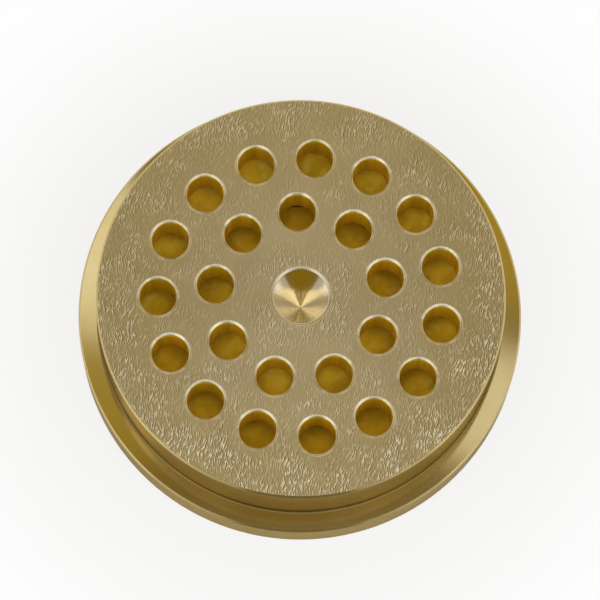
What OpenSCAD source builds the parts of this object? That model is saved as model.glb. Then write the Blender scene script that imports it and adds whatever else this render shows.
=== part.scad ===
// Pasta extrusion die for sheets of dough, with its inlet side up.
// Dough enters the feed holes, spreads in a ring channel under the feed plate and
// leaves through the slot in the exit face. The slot is a ring that one bridge
// breaks, so the dough comes out as an open sheet and not as a tube.
// The origin is at the centre of the exit face, and +Z points to the inlet face.

/* [Body] */
// Diameter of the neck that enters the extruder's barrel
neck_d = 54.5; // [50:0.5:66]
// Height of the neck above the flange
neck_h = 10; // [9:0.5:16]
// Distance that the flange stands out from the neck
flange_w = 2.75; // [1.75:0.25:6]
// Thickness of the flange
flange_t = 6; // [5:0.5:10]
// Chamfer on the neck's top edge
neck_chamfer = 0.25; // [0.1:0.05:1]
// Chamfer on both edges of the flange's rim
flange_chamfer = 0.25; // [0.1:0.05:0.6]
// Radius in the corner between the neck and the flange
seat_fillet = 0.3; // [0.2:0.1:0.8]

/* [Feed holes] */
// Diameter of one feed hole
feed_d = 4.8; // [4:0.1:6]
// Radius on the mouth of a feed hole
feed_edge_r = 0.45; // [0.2:0.05:0.8]
// Diameter of the circle that the outer holes lie on
outer_ring_d = 38; // [36:0.5:42]
// Number of outer holes
outer_ring_n = 15; // [10:1:18]
// Diameter of the circle that the inner holes lie on
inner_ring_d = 23; // [22:0.5:26]
// Number of inner holes
inner_ring_n = 9; // [6:1:10]
// Thickness of the plate that the feed holes pierce
plate_t = 5.25; // [4:0.25:6.5]

/* [Auger seat] */
// Diameter of the conical seat for the auger's tip, before its edge is rounded
seat_d = 7.6; // [6:0.2:10]
// Angle of the conical seat
seat_angle = 60; // [50:1:90]
// Radius on the mouth of the conical seat
seat_edge_r = 0.5; // [0.2:0.05:0.8]

/* [Slot] */
// Width of the slot, which sets the thickness of the sheet
slot_w = 1; // [0.6:0.1:1.8]
// Length of the slot along the die
land_h = 4; // [2:0.25:5]
// Width of the bridge that breaks the slot
bridge_w = 4; // [2:0.5:8]
// Distance that the throat above the slot is wider on each side
throat_step = 0.5; // [0.25:0.05:0.75]

/* [Channel] */
// Height of the channel at its inner and outer walls
channel_h = 1.25; // [0.75:0.25:1.75]
// Slope of the channel's floor, down to the throat
channel_slope = 7.5; // [3:0.5:12]
// Room between the feed holes and the channel's walls
channel_margin = 0.25; // [0.1:0.05:0.8]
// Width of the disc's rim, which seats on the feed plate
rim_w = 0.85; // [0.5:0.05:2]

/* [Disc fastening] */
// Diameter of the stud, threaded M10
stud_d = 10; // [8:0.5:11]
// Step from the stud to the pilot that centres the disc
pilot_step = 2; // [1:0.25:2.5]
// Height of the pilot below the feed plate
pilot_h = 2; // [1:0.25:2.5]
// Chamfer on the stud's end
stud_chamfer = 0.8; // [0.4:0.1:1]
// Distance that the stud's end shows past the nut
stud_proud = 0.3; // [0.1:0.1:0.5]
// Width of the nut across its flats
nut_af = 16; // [14:0.5:18]
// Thickness of the nut
nut_h = 5; // [3:0.25:5.5]
// Distance from the exit face up to the nut
nut_sink = 0.8; // [0.6:0.1:1.2]
// Room for a socket wrench around the nut's corners
wrench_room = 1.75; // [1:0.25:2.5]
// Chamfer on the edges at the disc's joint and nut recess
edge_chamfer = 0.25; // [0.1:0.05:0.5]

/* [Clearances] */
// Room around the disc in the body and around the pilot in the disc
fit_gap = 0.03; // [0.02:0.01:0.1]
// Room around the stud in the disc and in the nut
stud_gap = 0.1; // [0.05:0.05:0.3]
// Room under the pilot's end, so that the disc seats on the plate alone
pilot_end_gap = 0.2; // [0.1:0.05:0.4]

/* [Hidden] */
$fn = 96;
// Distance that a cutter reaches past the face it cuts
over = 1;
// Sides of the nut, and the angle that its corners are bevelled at
hex_n = 6;
nut_bevel_angle = 30;

neck_r = neck_d / 2;
flange_r = neck_r + flange_w;
inlet_z = flange_t + neck_h;
plate_z = inlet_z - plate_t;

feed_r = feed_d / 2;
hub_r = inner_ring_d / 2 - feed_r - channel_margin;
channel_r = outer_ring_d / 2 + feed_r + channel_margin;
bore_r = channel_r + rim_w;
disc_r = bore_r - fit_gap;

// The slot runs midway between the two rings of feed holes
slot_mid_r = (outer_ring_d + inner_ring_d) / 4;
slot_in_r = slot_mid_r - slot_w / 2;
slot_out_r = slot_mid_r + slot_w / 2;
throat_in_r = slot_in_r - throat_step;
throat_out_r = slot_out_r + throat_step;
throat_z = land_h + throat_step;
channel_z = plate_z - channel_h;
floor_in_z = channel_z - (throat_in_r - hub_r) * tan(channel_slope);
floor_out_z = channel_z - (channel_r - throat_out_r) * tan(channel_slope);

stud_r = stud_d / 2;
stud_z = nut_sink - stud_proud;
stud_hole_r = stud_r + stud_gap;
pilot_r = stud_r + pilot_step;
pilot_z = plate_z - pilot_h;
socket_r = pilot_r + fit_gap;
socket_z = pilot_z - pilot_end_gap;
nut_seat_z = nut_sink + nut_h;
nut_flat_r = nut_af / 2;
nut_corner_r = nut_flat_r / cos(180 / hex_n);
recess_r = nut_corner_r + wrench_room;

brass = [0.66, 0.57, 0.34];
disc_brass = [0.6, 0.5, 0.27];
steel = [0.68, 0.68, 0.67];

// Copies of a child at even steps around the axis, the first on +X
module ring_of(count, ring_d)
    for (i = [0 : count - 1])
        rotate(i * 360 / count) translate([ring_d / 2, 0, 0]) children();

// Cutter for a round hole in the inlet face, tapered at the full angle given. Its mouth
// is rounded by an arc that is tangent to the hole's wall and to the face.
module round_mouthed(r, angle, edge_r, depth) {
    half = angle / 2;
    mid_r = r + edge_r * (1 - sin(half)) / cos(half);
    wall_r = mid_r - edge_r * cos(half);
    wall_z = inlet_z - edge_r * (1 - sin(half));
    foot_r = max(0, r - depth * tan(half));
    rotate_extrude()
        difference() {
            polygon([
                [0, inlet_z - depth], [foot_r, inlet_z - depth], [wall_r, wall_z],
                [mid_r, inlet_z], [mid_r, inlet_z + over], [0, inlet_z + over]
            ]);
            translate([mid_r, inlet_z - edge_r]) circle(edge_r);
        }
}

module feed_hole()
    round_mouthed(feed_r, 0, feed_edge_r, plate_t + over);

module auger_seat()
    round_mouthed(seat_d / 2, seat_angle, seat_edge_r, seat_d / 2 / tan(seat_angle / 2));

// Outer form of the body as a half section: flange, corner fillet and neck
module body_section()
    difference() {
        polygon([
            [0, 0], [flange_r - flange_chamfer, 0], [flange_r, flange_chamfer],
            [flange_r, flange_t - flange_chamfer], [flange_r - flange_chamfer, flange_t],
            [neck_r + seat_fillet, flange_t], [neck_r, flange_t + seat_fillet],
            [neck_r, inlet_z - neck_chamfer], [neck_r - neck_chamfer, inlet_z], [0, inlet_z]
        ]);
        translate([neck_r + seat_fillet, flange_t + seat_fillet]) circle(seat_fillet);
    }

// Space inside the body as a half section, around the pilot and the stud
module cavity_section()
    polygon([
        [0, -over], [bore_r + edge_chamfer, -over], [bore_r + edge_chamfer, 0],
        [bore_r, edge_chamfer], [bore_r, plate_z], [pilot_r, plate_z],
        [pilot_r, pilot_z], [stud_r, pilot_z], [stud_r, stud_z + stud_chamfer],
        [stud_r - stud_chamfer, stud_z], [0, stud_z]
    ]);

module die_body()
    color(brass)
        difference() {
            rotate_extrude() body_section();
            rotate_extrude() cavity_section();
            ring_of(outer_ring_n, outer_ring_d) feed_hole();
            ring_of(inner_ring_n, inner_ring_d) feed_hole();
            auger_seat();
        }

// Part of the disc outside the slot, as a half section
module outer_section()
    polygon([
        [slot_out_r, 0], [disc_r - edge_chamfer, 0], [disc_r, edge_chamfer],
        [disc_r, plate_z], [channel_r, plate_z], [channel_r, channel_z],
        [throat_out_r, floor_out_z], [throat_out_r, throat_z], [slot_out_r, land_h]
    ]);

// Part of the disc inside the slot, with the pilot's socket and the nut's recess
module inner_section()
    polygon([
        [recess_r + edge_chamfer, 0], [slot_in_r, 0], [slot_in_r, land_h],
        [throat_in_r, throat_z], [throat_in_r, floor_in_z], [hub_r, channel_z],
        [hub_r, plate_z], [socket_r, plate_z], [socket_r, socket_z],
        [stud_hole_r, socket_z], [stud_hole_r, nut_seat_z], [recess_r, nut_seat_z],
        [recess_r, edge_chamfer]
    ]);

// Bridge on -X, midway between feed holes, that joins the two parts across the slot
module bridge()
    intersection() {
        difference() {
            cylinder(r = throat_out_r, h = land_h);
            translate([0, 0, -over]) cylinder(r = throat_in_r, h = land_h + 2 * over);
        }
        translate([-throat_out_r, -bridge_w / 2, 0]) cube([throat_out_r, bridge_w, land_h]);
    }

module slot_disc()
    color(disc_brass) {
        rotate_extrude() outer_section();
        rotate_extrude() inner_section();
        bridge();
    }

// Round envelope that bevels the nut's corners at both ends
module nut_bevel() {
    reach = nut_corner_r + over;
    rise = (reach - nut_flat_r) * tan(nut_bevel_angle);
    rotate_extrude()
        polygon([
            [0, nut_sink], [nut_flat_r, nut_sink], [reach, nut_sink + rise],
            [reach, nut_seat_z - rise], [nut_flat_r, nut_seat_z], [0, nut_seat_z]
        ]);
}

module disc_nut()
    color(steel)
        difference() {
            intersection() {
                translate([0, 0, nut_sink]) cylinder(r = nut_corner_r, h = nut_h, $fn = hex_n);
                nut_bevel();
            }
            translate([0, 0, nut_sink - over]) cylinder(r = stud_hole_r, h = nut_h + 2 * over);
        }

die_body();
slot_disc();
disc_nut();
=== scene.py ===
import math

import bpy
from mathutils import Matrix, Vector


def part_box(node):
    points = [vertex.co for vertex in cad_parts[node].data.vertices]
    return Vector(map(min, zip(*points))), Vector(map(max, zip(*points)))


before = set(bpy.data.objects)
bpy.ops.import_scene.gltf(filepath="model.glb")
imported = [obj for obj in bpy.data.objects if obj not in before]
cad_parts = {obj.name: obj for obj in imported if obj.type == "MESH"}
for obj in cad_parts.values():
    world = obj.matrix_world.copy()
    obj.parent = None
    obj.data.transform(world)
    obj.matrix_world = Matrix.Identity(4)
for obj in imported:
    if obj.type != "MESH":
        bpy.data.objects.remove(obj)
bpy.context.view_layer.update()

MM = 0.001

# Sizes of the die, in metres, that its finishes need
INLET_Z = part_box("die_body")[1][2]
FLANGE_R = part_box("die_body")[1][0]
PLATE_Z = INLET_Z - 5.25 * MM
FLANGE_Z = 6 * MM
NECK_R = 27.25 * MM
CORNER_FILLET = 0.3 * MM
# Number of feed holes on a ring, and the ring's radius
OUTER_RING = 15, 19 * MM
INNER_RING = 9, 11.5 * MM
FEED_R = 2.4 * MM
FEED_EDGE = 0.45 * MM
SEAT_EDGE = 0.5 * MM
SEAT_MOUTH_R = 4.1 * MM
HUB_R = 8.85 * MM
CHANNEL_R = 21.65 * MM
BORE_R = 22.5 * MM
LAND_Z = 4 * MM
# How far a facet's middle may lie off the surface that it stands for
SLACK = 0.02 * MM
# Rise of the normal from which a facet counts as facing straight up
UPWARD = 0.999

# The photograph's picture plane is turned against the die: a direction on the face at angle A
# from +X shows at A + PICTURE_TURN in the picture, counted from its right side.
PICTURE_TURN = 12.34
PICTURE_BACK = 90
PICTURE_FRONT = 270


def around(picture_angle, elevation, distance):
    """Point at a distance from the die, by its direction in the picture and its elevation."""
    a = math.radians(picture_angle - PICTURE_TURN)
    e = math.radians(elevation)
    return Vector((math.cos(a) * math.cos(e), math.sin(a) * math.cos(e), math.sin(e))) * distance


def rgb(r, g, b):
    """Opaque colour."""
    return (r, g, b, 1.0)


# Materials

# Tint of a metal's reflection at a grazing angle
EDGE_TINT = rgb(0.85, 0.73, 0.47)
# Turn of a highlight, in full turns, that lays it across the tool marks
ACROSS_MARKS = 0.25


class Shader:
    """Nodes of a material or of the world, added step by step."""

    def __init__(self, owner):
        owner.use_nodes = True
        self.owner = owner
        self.tree = owner.node_tree
        self.tree.nodes.clear()

    def add(self, kind, inputs=None, out=0, **settings):
        """Adds a node, links or sets its inputs by name or number, and gives one of its outputs."""
        n = self.tree.nodes.new("ShaderNode" + kind)
        for key, value in settings.items():
            setattr(n, key, value)
        for key, value in (inputs or {}).items():
            socket = n.inputs[key]
            if isinstance(value, bpy.types.NodeSocket):
                self.tree.links.new(value, socket)
            else:
                socket.default_value = value
        return n.outputs[out]

    def math(self, operation, a, b=0.0, clamp=False):
        return self.add("Math", {0: a, 1: b}, operation=operation, use_clamp=clamp)

    def vector(self, operation, a, b=(0, 0, 0), out=0):
        return self.add("VectorMath", {0: a, 1: b}, out=out, operation=operation)

    def combine(self, x=0.0, y=0.0, z=0.0):
        return self.add("CombineXYZ", {0: x, 1: y, 2: z})

    def part(self, vector, axis):
        return self.add("SeparateXYZ", {0: vector}, out=axis)

    def ramp(self, value, start, end, low=0.0, high=1.0):
        """Maps value smoothly from start..end to low..high."""
        return self.add(
            "MapRange",
            {"Value": value, "From Min": start, "From Max": end, "To Min": low, "To Max": high},
            interpolation_type="SMOOTHSTEP",
        )

    def mix(self, factor, a, b):
        """Mixes two colours."""
        return self.add("Mix", {0: factor, 6: a, 7: b}, out=2, data_type="RGBA")

    def position(self):
        return self.add("TexCoord", out="Object")

    def level(self, vector):
        """A vector's part that lies across the die's axis."""
        return self.vector("MULTIPLY", vector, (1, 1, 0))

    def length(self, vector):
        """Length of a vector, seen along the die's axis."""
        return self.vector("LENGTH", self.level(vector), out="Value")

    def noise(self, vector, scale, detail=2.0, roughness=0.5, out=0):
        """Noise of values around 0.5, at a scale in cells per metre."""
        return self.add(
            "TexNoise",
            {"Vector": vector, "Scale": scale, "Detail": detail, "Roughness": roughness},
            out=out,
        )

    def hole_offset(self, p):
        """Offset of a point from the axis of the nearest feed hole."""
        angle = self.math("ARCTAN2", self.part(p, "Y"), self.part(p, "X"))
        axes = []
        for count, ring_r in (INNER_RING, OUTER_RING):
            step = 2 * math.pi / count
            turn = self.math("MULTIPLY", self.math("ROUND", self.math("DIVIDE", angle, step)), step)
            x = self.math("MULTIPLY", self.math("COSINE", turn), ring_r)
            y = self.math("MULTIPLY", self.math("SINE", turn), ring_r)
            axes.append(self.combine(x, y))
        outer = self.math("GREATER_THAN", self.length(p), (INNER_RING[1] + OUTER_RING[1]) / 2)
        axis = self.add("Mix", {0: outer, 4: axes[0], 5: axes[1]}, out=1, data_type="VECTOR")
        return self.vector("SUBTRACT", p, axis)

    def revolved_normal(self, offset, rise=None):
        """Exact normal of a turned surface, by the offset from its axis.

        Its rise, the normal's part along the axis, is the facet's own unless it is given.
        """
        facet = self.add("NewGeometry", out="True Normal")
        outward = self.vector("NORMALIZE", self.level(offset))
        if rise is None:
            rise = self.part(facet, "Z")
        side = self.math("SIGN", self.vector("DOT_PRODUCT", facet, outward, out="Value"))
        rest = self.math("SUBTRACT", 1.0, self.math("MULTIPLY", rise, rise), clamp=True)
        run = self.math("MULTIPLY", self.math("SQRT", rest), side)
        across = self.vector("MULTIPLY", outward, self.combine(run, run, run))
        return self.vector("ADD", across, self.combine(z=rise))

    def bump(self, height, depth, normal):
        return self.add("Bump", {"Strength": 1.0, "Distance": depth, "Height": height,
                                 "Normal": normal})

    def metal(self, colour, rough, normal, anisotropic=0.0, metallic=1.0):
        """Metal, whose highlight may spread across the circular tool marks around the axis."""
        inputs = {"Base Color": colour, "Metallic": metallic, "Roughness": rough, "Normal": normal,
                  "Specular Tint": EDGE_TINT}
        if anisotropic:
            inputs["Anisotropic"] = anisotropic
            inputs["Anisotropic Rotation"] = ACROSS_MARKS
            inputs["Tangent"] = self.add("Tangent", direction_type="RADIAL", axis="Z")
        return self.finish(self.add("BsdfPrincipled", inputs))

    def finish(self, surface, output="OutputMaterial"):
        """Puts a surface on the output, and gives what the nodes belong to."""
        end = self.tree.nodes.new("ShaderNode" + output)
        self.tree.links.new(surface, end.inputs["Surface"])
        return self.owner


def new_shader(name):
    return Shader(bpy.data.materials.new(name))


# Pairs of colours that a finish varies between
FACE_COLOURS = rgb(0.515, 0.425, 0.248), rgb(0.485, 0.385, 0.19)
BODY_COLOURS = rgb(0.48, 0.37, 0.15), rgb(0.53, 0.415, 0.185)
WALL_COLOURS = rgb(0.54, 0.425, 0.18), rgb(0.59, 0.47, 0.22)
# Dark brass on the fillet between the neck and the flange: painted shade in that crease
CORNER_SHADE_COLOURS = rgb(0.30, 0.22, 0.075), rgb(0.34, 0.255, 0.095)
# Brass of the seat, much paler than the body's so that its reflections come out near white: a painted
# highlight
SEAT_HIGHLIGHT_COLOURS = rgb(0.84, 0.775, 0.62), rgb(0.875, 0.82, 0.69)
# Pale brass of the rounded hole and seat edges: a painted highlight on top of their real reflection
LIP_HIGHLIGHT_COLOURS = rgb(0.66, 0.57, 0.39), rgb(0.90, 0.83, 0.69)
# Deep gold of the holes and of the channel: painted reflection, the colour of light bounced inside the
# brass hollows, given as the metal's own
HOLE_BOUNCE_COLOURS = rgb(0.71, 0.51, 0.022), rgb(0.99, 0.70, 0.04)
CHANNEL_BOUNCE_COLOURS = rgb(0.82, 0.585, 0.028), rgb(0.99, 0.725, 0.045)
STEEL_COLOURS = rgb(0.52, 0.51, 0.5), rgb(0.6, 0.6, 0.59)
# Pale places in the channel, and on the face the painted glint along a stroke and the painted shade
# beside it
CHANNEL_PALE = rgb(0.99, 0.80, 0.11)
STROKE_PAINTED_GLINT = rgb(0.98, 0.89, 0.67)
STROKE_PAINTED_SHADE = rgb(0.15, 0.105, 0.03)

NOISE_MEAN = 0.5
# Values of a noise between which a pattern goes from its low places to its high ones
SOFT_RANGE = 0.3, 0.7
FIRM_RANGE = 0.35, 0.65

# Strokes on the inlet face: their lean from +X, the scale of the noise that draws them, the share
# of that scale along a stroke, and the noise's values where a stroke starts and where it is full
COARSE_STROKES = 62.7, 5300, 0.2, 0.53, 0.68
FINE_STROKES = 76.7, 6800, 0.23, 0.54, 0.70
STROKE_DETAIL = 1
STROKE_NOISE_ROUGHNESS = 0.4
# Distance from a stroke to the painted shade beside it
STROKE_SHADE = 0.1 * MM
# Noise that bends the strokes, and how far it reaches
BEND_SCALE = 260
BEND_REACH = 1.3 * MM
# Density of the strokes: from one place to another, and its levels there
RIM_DENSITY = 10 * MM, 25 * MM, 0.65, 1.0
HOLE_DENSITY = 2.9 * MM, 5.5 * MM, 0.4, 1.0
PATCH_DENSITY = 0.36, 0.60, 0.4, 1.0
FRONT_DENSITY = -24 * MM, 24 * MM, 0.7, 1.3
PATCH_SCALE = 330
STROKE_HEIGHT = 0.02 * MM
# The face's colour changes with the radius, to which a noise adds up to a spread
WEAR_SCALE = 90
WEAR_SPREAD = 14 * MM
WEAR_RANGE = 16 * MM, 32 * MM
FACE_ROUGH_SCALE = 300
FACE_ROUGH = 0.36, 0.44
FACE_ANISOTROPY = 0.3


def strokes(s, vector, lean, scale, stretch, start, full):
    """Short strokes that lean one way: their painted glint, the painted shade beside them, and their
    relief.
    """
    turned = s.add("Mapping", {"Vector": vector, "Rotation": (0, 0, math.radians(-lean))})
    grid = s.vector("MULTIPLY", turned, (stretch, 1, 1))
    beside = s.vector("ADD", grid, (0, STROKE_SHADE, 0))
    relief = s.noise(grid, scale, STROKE_DETAIL, STROKE_NOISE_ROUGHNESS)
    shade = s.noise(beside, scale, STROKE_DETAIL, STROKE_NOISE_ROUGHNESS)
    return s.ramp(relief, start, full), s.ramp(shade, start, full), relief


def make_face():
    """Satin inlet face with short strokes that lean one way, densest at the rim, each with a painted
    glint and painted shade.
    """
    s = new_shader("brass_face")
    p = s.position()
    r = s.length(p)
    # Coordinates bent a little, so that no two strokes run alike
    bend = s.vector("SUBTRACT", s.noise(p, BEND_SCALE, out="Color"), (NOISE_MEAN, NOISE_MEAN, NOISE_MEAN))
    bent = s.vector("ADD", p, s.vector("MULTIPLY", bend, (BEND_REACH, BEND_REACH, 0)))
    coarse_glint, coarse_shade, coarse_relief = strokes(s, bent, *COARSE_STROKES)
    fine_glint, fine_shade, fine_relief = strokes(s, bent, *FINE_STROKES)
    glint_mask = s.math("MAXIMUM", coarse_glint, fine_glint)
    shade_mask = s.math("MAXIMUM", coarse_shade, fine_shade)
    relief = s.math("ADD", coarse_relief, fine_relief)
    # Strokes, with their painted glints and shade, gather towards the rim, thin out around the holes,
    # come in patches, and are stronger on the side that lies at the front in the picture
    rim = s.ramp(r, *RIM_DENSITY)
    clear = s.ramp(s.length(s.hole_offset(p)), *HOLE_DENSITY)
    patch = s.ramp(s.noise(p, PATCH_SCALE), *PATCH_DENSITY)
    forward = s.vector("DOT_PRODUCT", p, around(PICTURE_FRONT, 0, 1.0), out="Value")
    front = s.ramp(forward, *FRONT_DENSITY)
    dense = s.math("MULTIPLY", s.math("MULTIPLY", rim, clear), s.math("MULTIPLY", patch, front))
    spread = s.math("MULTIPLY", s.noise(p, WEAR_SCALE, detail=3, roughness=0.55), WEAR_SPREAD)
    colour = s.mix(s.ramp(s.math("ADD", r, spread), *WEAR_RANGE), *FACE_COLOURS)
    # Painted shade beside each stroke, then a painted glint on the stroke itself
    colour = s.mix(s.math("MULTIPLY", shade_mask, dense), colour, STROKE_PAINTED_SHADE)
    colour = s.mix(s.math("MULTIPLY", glint_mask, dense), colour, STROKE_PAINTED_GLINT)
    height = s.math("MULTIPLY", relief, dense)
    rough = s.ramp(s.noise(p, FACE_ROUGH_SCALE), *SOFT_RANGE, *FACE_ROUGH)
    normal = s.bump(height, STROKE_HEIGHT, s.revolved_normal(p))
    return s.metal(colour, rough, normal, anisotropic=FACE_ANISOTROPY)


# Scales of a turned surface's change of colour and of its tool marks
TURNED_SCALE = 120
MARK_SCALE = 5000
WIDE_MARK_SCALE = 2500


def make_turned(name, colours, rough, mark_depth, anisotropic=0.0, mark_scale=MARK_SCALE, rise=None):
    """Turned brass with circular tool marks. A function may give the rise of its normal."""
    s = new_shader(name)
    p = s.position()
    r = s.length(p)
    z = s.part(p, "Z")
    marks = s.noise(s.combine(r, z), mark_scale, detail=3, roughness=0.6)
    tone = s.noise(p, TURNED_SCALE, detail=3, roughness=0.55)
    colour = s.mix(s.ramp(tone, *SOFT_RANGE), *colours)
    normal = s.revolved_normal(p, rise(s, r, z) if rise else None)
    return s.metal(colour, rough, s.bump(marks, mark_depth, normal), anisotropic)


# Share of bare metal where dough runs: a thin film dulls the rest
DOUGH_METALLIC = 0.5
HOLE_MARK_SCALE = 9000
HOLE_MARK_DEPTH = 0.002 * MM
# Cells of the streaks' noise in one radius of a hole, and its step in cells per metre from one
# hole to the next, which gives each hole other streaks
STREAK_CELLS = 1.6
STREAK_STEP = 1000


def make_hole(name, colours, rough, metallic=1.0, rise=None):
    """Drilled brass of the feed holes, worn smooth by the dough."""
    s = new_shader(name)
    p = s.position()
    z = s.part(p, "Z")
    marks = s.noise(s.combine(z), HOLE_MARK_SCALE)
    offset = s.hole_offset(p)
    # Streaks along the hole's wall, other ones in each hole
    wall = s.vector("MULTIPLY", s.vector("NORMALIZE", s.level(offset)), (STREAK_CELLS, STREAK_CELLS, 0))
    place = s.vector("MULTIPLY", s.vector("SUBTRACT", p, offset), (STREAK_STEP, STREAK_STEP, 0))
    streaks = s.noise(s.vector("ADD", wall, place), 1.0)
    colour = s.mix(s.ramp(streaks, *FIRM_RANGE), *colours)
    normal = s.revolved_normal(offset, rise(s, s.length(offset), z) if rise else None)
    return s.metal(colour, rough, s.bump(marks, HOLE_MARK_DEPTH, normal), metallic=metallic)


CHANNEL_SCALE = 450
CHANNEL_PALE_SCALE = 620
# Values of the noise where pale places start and where they are full, and their shares there
CHANNEL_PALE_SHARE = 0.54, 0.72, 0.0, 0.8
CHANNEL_ROUGH_SCALE = 400
CHANNEL_ROUGH = 0.50, 0.60
CHANNEL_MARK_SCALE = 2500
CHANNEL_MARK_DEPTH = 0.004 * MM


def make_channel():
    """Walls and floor of the ring channel, in the same deep gold as the holes: a painted reflection of
    light bounced inside the brass hollows.
    """
    s = new_shader("brass_channel_painted_bounce")
    p = s.position()
    colour = s.mix(s.ramp(s.noise(p, CHANNEL_SCALE), *FIRM_RANGE), *CHANNEL_BOUNCE_COLOURS)
    pale_places = s.noise(p, CHANNEL_PALE_SCALE, detail=1, roughness=0.4)
    pale = s.ramp(pale_places, *CHANNEL_PALE_SHARE)
    colour = s.mix(pale, colour, CHANNEL_PALE)
    rough = s.ramp(s.noise(p, CHANNEL_ROUGH_SCALE), *SOFT_RANGE, *CHANNEL_ROUGH)
    marks = s.noise(p, CHANNEL_MARK_SCALE)
    normal = s.bump(marks, CHANNEL_MARK_DEPTH, s.add("NewGeometry", out="Normal"))
    return s.metal(colour, rough, normal, metallic=DOUGH_METALLIC)


STEEL_SCALE = 500
STEEL_ROUGH_SCALE = 900
STEEL_ROUGH = 0.22, 0.34
STEEL_MARK_SCALE = 3000
STEEL_MARK_DEPTH = 0.002 * MM


def make_steel():
    """Plain bright steel of the nut."""
    s = new_shader("nut_steel")
    p = s.position()
    tone = s.noise(p, STEEL_SCALE, detail=3, roughness=0.6)
    colour = s.mix(s.ramp(tone, *SOFT_RANGE), *STEEL_COLOURS)
    rough = s.ramp(s.noise(p, STEEL_ROUGH_SCALE), *SOFT_RANGE, *STEEL_ROUGH)
    marks = s.noise(p, STEEL_MARK_SCALE)
    normal = s.bump(marks, STEEL_MARK_DEPTH, s.add("NewGeometry", out="Normal"))
    return s.metal(colour, rough, normal)


def rounded(edge_r):
    """Rise of the normal on an edge that is rounded into the inlet face."""
    def rise(s, r, z):
        return s.math("DIVIDE", s.math("SUBTRACT", z, INLET_Z - edge_r), edge_r, clamp=True)
    return rise


def corner(s, r, z):
    """Rise of the normal on the fillet between the neck and the flange."""
    run = s.math("SUBTRACT", NECK_R + CORNER_FILLET, r)
    up = s.math("SUBTRACT", FLANGE_Z + CORNER_FILLET, z)
    both = s.math("ADD", s.math("MULTIPLY", run, run), s.math("MULTIPLY", up, up))
    return s.math("DIVIDE", up, s.math("SQRT", both))


body_finishes = {
    "face": make_face(),
    "wall": make_turned("brass_wall", WALL_COLOURS, rough=0.2, mark_depth=0.001 * MM,
                        anisotropic=0.4),
    "flange": make_turned("brass_flange", BODY_COLOURS, rough=0.07, mark_depth=0.0005 * MM),
    # The fillet's darker brass is painted shade
    "corner": make_turned("brass_corner_painted_shade", CORNER_SHADE_COLOURS, rough=0.45, mark_depth=0.0005 * MM,
                          rise=corner),
    # The seat's pale brass is a painted highlight
    "seat": make_turned("brass_seat_painted_highlight", SEAT_HIGHLIGHT_COLOURS, rough=0.11, mark_depth=0.0004 * MM,
                        anisotropic=0.2, mark_scale=WIDE_MARK_SCALE),
    # Rounded edges of the seat and the holes: paler brass as a painted highlight
    "seat_lip_highlight": make_turned("brass_seat_lip_painted_highlight", LIP_HIGHLIGHT_COLOURS, rough=0.3, mark_depth=0.001 * MM,
                            rise=rounded(SEAT_EDGE)),
    # The bores' deep gold is a painted reflection of light bounced inside them
    "bore": make_hole("brass_bore_painted_bounce", HOLE_BOUNCE_COLOURS, rough=0.34, metallic=DOUGH_METALLIC),
    "lip_highlight": make_hole("brass_lip_painted_highlight", LIP_HIGHLIGHT_COLOURS, rough=0.32, rise=rounded(FEED_EDGE)),
}
disc_finishes = {
    "exit": make_turned("brass_disc", BODY_COLOURS, rough=0.24, mark_depth=0.003 * MM,
                        anisotropic=0.4),
    "channel": make_channel(),
}

# Zones of the body and of the disc

hole_axes = [
    Matrix.Rotation(2 * math.pi * i / count, 2) @ Vector((ring_r, 0))
    for count, ring_r in (OUTER_RING, INNER_RING)
    for i in range(count)
]
# The upper part of a hole's rounded edge, and of the seat's, which carries a painted highlight
LIP_HIGHLIGHT_DEPTH = 0.13 * MM
SEAT_LIP_HIGHLIGHT_DEPTH = 0.25 * MM


def body_zone(at, z, normal):
    """Which finish a facet of the body has, by where it lies."""
    r = at.length
    if normal.z > UPWARD and z > INLET_Z - SLACK:
        return "face"
    if z > PLATE_Z - SLACK and min((at - h).length for h in hole_axes) < FEED_R + FEED_EDGE + SLACK:
        return "lip_highlight" if z > INLET_Z - LIP_HIGHLIGHT_DEPTH else "bore"
    if r < SEAT_MOUTH_R and normal.z > 0:
        return "seat_lip_highlight" if z > INLET_Z - SEAT_LIP_HIGHLIGHT_DEPTH else "seat"
    if abs(z - PLATE_Z) < SLACK and r < BORE_R:
        return "bore"
    if r > NECK_R - SLACK and FLANGE_Z - SLACK < z < FLANGE_Z + CORNER_FILLET:
        return "corner" if r < NECK_R + CORNER_FILLET else "flange"
    return "wall"


def disc_zone(at, z, normal):
    """Which finish a facet of the disc has: the dough's channel and throat are deep gold."""
    inside = HUB_R - SLACK < at.length < CHANNEL_R + SLACK
    return "channel" if inside and z > LAND_Z + SLACK else "exit"


def dress(name, finishes, zone):
    """Puts finishes on a CAD node, facet by facet."""
    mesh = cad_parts[name].data
    mesh.materials.clear()
    for finish in finishes.values():
        mesh.materials.append(finish)
    order = list(finishes)
    for polygon in mesh.polygons:
        c = polygon.center
        polygon.material_index = order.index(zone(Vector((c.x, c.y)), c.z, polygon.normal))


dress("die_body", body_finishes, body_zone)
dress("slot_disc", disc_finishes, disc_zone)
dress("disc_nut", {"steel": make_steel()}, lambda at, z, normal: "steel")

# Floor, room, lamps and camera

FLOOR_R = 3.0
FLOOR_SIDES = 96
FLOOR_GREY = rgb(0.9, 0.9, 0.9)
# Share of plain white in the floor: less of it close to the die, where the floor shows the shadow
WHITE_NEAR, WHITE_FAR = 0.82, 0.98
WHITE_FULL_R = 2 * FLANGE_R
# The floor under the die has no white of its own, so that none shows through the slot
UNDER_DIE = 28 * MM, 29.5 * MM


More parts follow.
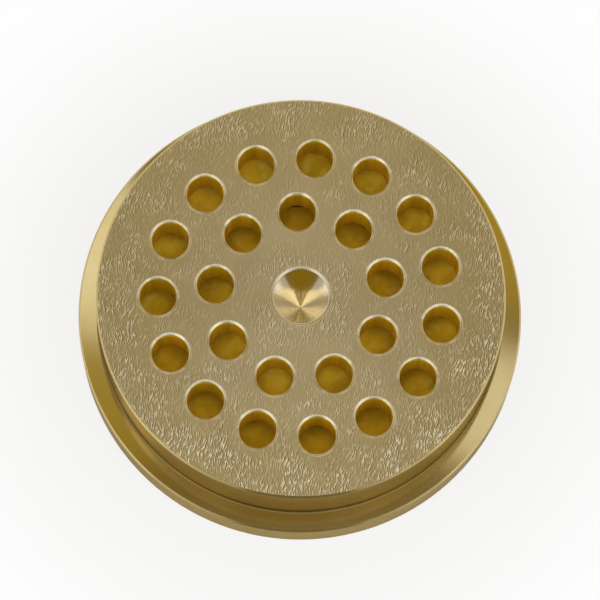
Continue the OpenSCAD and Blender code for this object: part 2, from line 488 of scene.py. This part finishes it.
def make_floor():
    """Pale floor that shows white, also in metal, apart from the shade close to the die."""
    s = new_shader("floor_white")
    path = s.tree.nodes.new("ShaderNodeLightPath")
    r = s.length(s.position())
    camera_share = s.math("MULTIPLY", path.outputs["Is Camera Ray"], s.ramp(r, *UNDER_DIE))
    mirror = s.math("ADD", path.outputs["Is Glossy Ray"], path.outputs["Is Transmission Ray"])
    mirror_share = s.math("MULTIPLY", mirror, s.ramp(r, FLANGE_R, WHITE_FULL_R))
    white_share = s.ramp(r, FLANGE_R, WHITE_FULL_R, WHITE_NEAR, WHITE_FAR)
    share = s.math("MULTIPLY", s.math("ADD", camera_share, mirror_share, clamp=True), white_share)
    shade = s.add("BsdfDiffuse", {"Color": FLOOR_GREY})
    white = s.add("Emission", {"Color": rgb(1, 1, 1), "Strength": 1.0})
    return s.finish(s.add("MixShader", {0: share, 1: shade, 2: white}))


bpy.ops.mesh.primitive_circle_add(vertices=FLOOR_SIDES, radius=FLOOR_R, fill_type="NGON")
floor = bpy.context.object
floor.name = "floor"
floor_finish = make_floor()
floor.data.materials.append(floor_finish)

# Wall of the cove, around the back and the sides, between two angles in the picture
COVE_TOP = 0.95
COVE_FROM, COVE_TO = -40, 220
COVE_STEPS = 64
cove_mesh = bpy.data.meshes.new("cove")
corners = []
for i in range(COVE_STEPS + 1):
    turn = math.radians(COVE_FROM + (COVE_TO - COVE_FROM) * i / COVE_STEPS - PICTURE_TURN)
    for z in (0.0, COVE_TOP):
        corners.append((FLOOR_R * math.cos(turn), FLOOR_R * math.sin(turn), z))
quads = [(2 * i, 2 * i + 2, 2 * i + 3, 2 * i + 1) for i in range(COVE_STEPS)]
cove_mesh.from_pydata(corners, [], quads)
cove_mesh.materials.append(floor_finish)
cove = bpy.data.objects.new("cove", cove_mesh)
bpy.context.scene.collection.objects.link(cove)

# The room is grey, with a warm dark behind the die, a golden one further down there, and a
# dark in front. Each tone comes in from one share of a direction towards the back to another.
ROOM = rgb(0.58, 0.58, 0.58)
ROOM_TONES = [
    (rgb(0.25, 0.18, 0.045), 0.07, 0.21),
    (rgb(0.27, 0.18, 0.005), 0.36, 0.60),
    (rgb(0.20, 0.17, 0.11), -0.72, -0.92),
]


def make_room():
    """World whose tone changes from the back to the front."""
    s = Shader(bpy.data.worlds.new("studio"))
    way = s.add("TexCoord", out="Generated")
    back_share = s.vector("DOT_PRODUCT", way, around(PICTURE_BACK, 0, 1.0), out="Value")
    shown = ROOM
    for tone, tone_from, tone_to in ROOM_TONES:
        shown = s.mix(s.ramp(back_share, tone_from, tone_to), shown, tone)
    return s.finish(s.add("Background", {"Color": shown, "Strength": 1.0}), "OutputWorld")


bpy.context.scene.world = make_room()

# Radiance of an area lamp of one square metre and one watt
RADIANCE_PER_WATT = 0.25
# Tints of the lamps: plain white, daylight in the strips, and gold in the dim cards
WHITE = 1.0, 1.0, 1.0
COOL = 0.9, 0.98, 1.2
WARM = 1.0, 0.88, 0.2
OVERHEAD_Z = 1.0
STRIP_TURN = -19.6

# Lamps overhead that face down: two strips and two dim gold cards that show in the polished
# flange, a panel over the face, one lamp at the back, two at the front and one at each side.
# Each has a place to the right and to the back in the picture, a width, a depth, a radiance, a
# turn in the picture and a tint.
OVERHEAD_LAMPS = [
    ("strip_left", -0.107, 0.279, 0.163, 0.068, 1.05, STRIP_TURN, COOL),
    ("strip_right", 0.082, 0.204, 0.11, 0.052, 0.88, STRIP_TURN, COOL),
    ("dim_left", -0.11, 0.205, 0.16, 0.06, 0.25, 0.0, WARM),
    ("dim_right", 0.13, 0.29, 0.15, 0.1, 0.27, 0.0, WARM),
    ("panel", -0.017, 0.075, 0.435, 0.10, 1.05, 0.0, WHITE),
    ("back", 0.0, 0.5, 0.5, 0.16, 1.0, 0.0, WHITE),
    ("front_left", -0.45, -0.5, 0.45, 0.4, 0.9, 0.0, WHITE),
    ("front_right", 0.45, -0.5, 0.45, 0.4, 0.9, 0.0, WHITE),
    ("side_left", -0.45, -0.11, 0.16, 0.10, 1.1, 0.0, WHITE),
    ("side_right", 0.45, -0.11, 0.16, 0.10, 1.1, 0.0, WHITE),
]

# Softboxes that light the walls from the front, by their angles in the picture
SOFTBOXES = [("box_left_front", 225), ("box_right_front", 315)]
SOFTBOX_ELEVATION = 24
SOFTBOX_DISTANCE = 1.0
SOFTBOX_WIDTH = 0.9
SOFTBOX_HEIGHT = 0.45
SOFTBOX_RADIANCE = 0.6


def lamp(name, place, width, height, radiance, tint=WHITE):
    """Rectangular area lamp that shines along its own -Z."""
    data = bpy.data.lights.new(name, "AREA")
    data.shape = "RECTANGLE"
    data.size = width
    data.size_y = height
    data.energy = radiance * width * height / RADIANCE_PER_WATT
    data.color = tint
    item = bpy.data.objects.new(name, data)
    bpy.context.scene.collection.objects.link(item)
    item.matrix_world = place


to_picture = Matrix.Rotation(math.radians(-PICTURE_TURN), 4, "Z")
for name, x, y, width, depth, radiance, turn, tint in OVERHEAD_LAMPS:
    spin = Matrix.Rotation(math.radians(turn), 4, "Z")
    place = Matrix.Translation(Vector((x, y, OVERHEAD_Z))) @ spin
    lamp(name, to_picture @ place, width, depth, radiance, tint)

for name, picture_angle in SOFTBOXES:
    at = around(picture_angle, SOFTBOX_ELEVATION, SOFTBOX_DISTANCE)
    aim = at.to_track_quat("Z", "Y").to_matrix().to_4x4()
    lamp(name, Matrix.Translation(at) @ aim, SOFTBOX_WIDTH, SOFTBOX_HEIGHT, SOFTBOX_RADIANCE)

# Camera at the photograph's viewing angle, aimed at the middle of the inlet face
CAMERA_AZIMUTH = -15.65
CAMERA_ELEVATION = 76.12
CAMERA_DISTANCE = 0.475
CAMERA_ROLL = 3.31
LENS_MM = 214.6
SENSOR_MM = 36
SHIFT_X = -0.0018
SHIFT_Y = -0.0066
CLIP_START = 0.01
CLIP_END = 20

camera_data = bpy.data.cameras.new("camera")
camera_data.lens = LENS_MM
camera_data.sensor_width = SENSOR_MM
camera_data.shift_x = SHIFT_X
camera_data.shift_y = SHIFT_Y
camera_data.clip_start = CLIP_START
camera_data.clip_end = CLIP_END
camera = bpy.data.objects.new("camera", camera_data)
bpy.context.scene.collection.objects.link(camera)
az, el = math.radians(CAMERA_AZIMUTH), math.radians(CAMERA_ELEVATION)
to_camera = Vector((math.sin(az) * math.cos(el), -math.cos(az) * math.cos(el), math.sin(el)))
aim = (-to_camera).to_track_quat("-Z", "Y").to_matrix().to_4x4()
place = Matrix.Translation(Vector((0, 0, INLET_Z)) + to_camera * CAMERA_DISTANCE)
camera.matrix_world = place @ aim @ Matrix.Rotation(math.radians(CAMERA_ROLL), 4, "Z")
bpy.context.scene.camera = camera

bpy.context.scene.view_settings.view_transform = "Standard"
